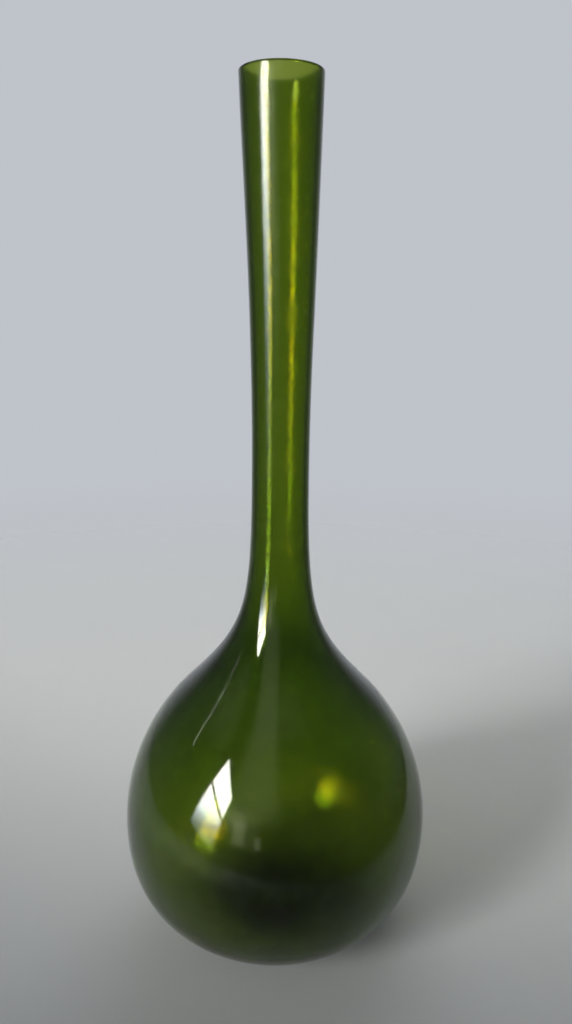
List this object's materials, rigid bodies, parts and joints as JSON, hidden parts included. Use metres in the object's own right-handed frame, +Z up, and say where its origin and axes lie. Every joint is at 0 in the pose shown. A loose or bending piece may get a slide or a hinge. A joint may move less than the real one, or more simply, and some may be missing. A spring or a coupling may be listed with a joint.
{
  "type": "long-neck bottle vase",
  "caption": "Blown glass bottle vase: a round hollow body on a flat standing ring, drawn up into a long slender neck with a slightly flared, open mouth for a stem or two.",
  "frame": {"origin": "the middle of the flat ring that the vase stands on, at the height of the table", "axes": "+Z up along the neck; the vase is the same all round, so +X and +Y are any two directions square to it"},
  "size_m": [0.1504, 0.1504, 0.41],
  "materials": {
    "green_glass": "clear moss-green glass, coloured all through, fire-polished inside and out"
  },
  "bodies": {
    "root": {"glass_vase": "green_glass"}
  },
  "joints": []
}
